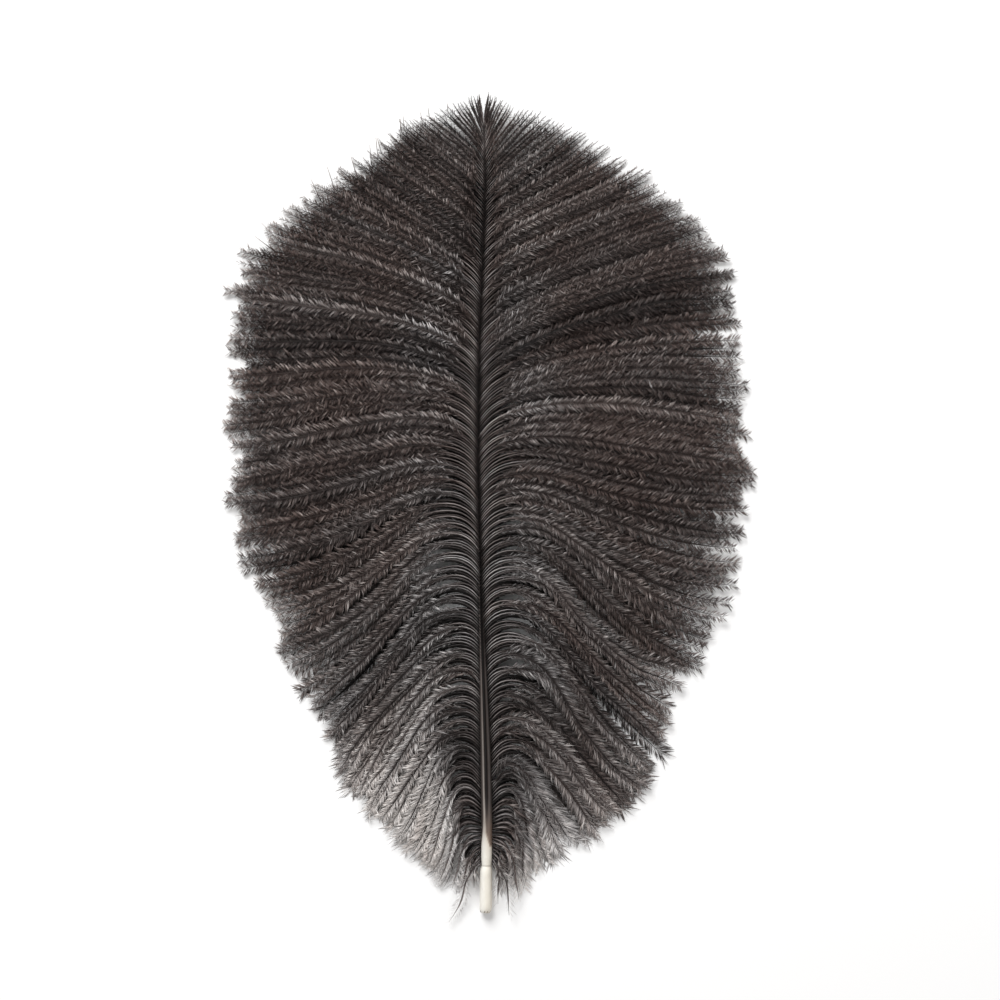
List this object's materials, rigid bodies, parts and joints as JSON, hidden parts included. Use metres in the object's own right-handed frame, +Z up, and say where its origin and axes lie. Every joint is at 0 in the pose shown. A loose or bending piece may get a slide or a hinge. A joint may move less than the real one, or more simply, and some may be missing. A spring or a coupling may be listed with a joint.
{
  "type": "ostrich feather",
  "caption": "Loose ostrich feather lying flat, with a pale quill, a grooved shaft and two wide vanes of soft curling barbs.",
  "frame": {"origin": "on the table, below the middle of the feather", "axes": "+Y along the shaft from the quill to the tip, +Z up from the table, grooved side of the shaft up"},
  "size_m": [0.1508, 0.2316, 0.0117],
  "materials": {
    "feather": "matte"
  },
  "bodies": {
    "root": {"feather": "feather"}
  },
  "joints": []
}
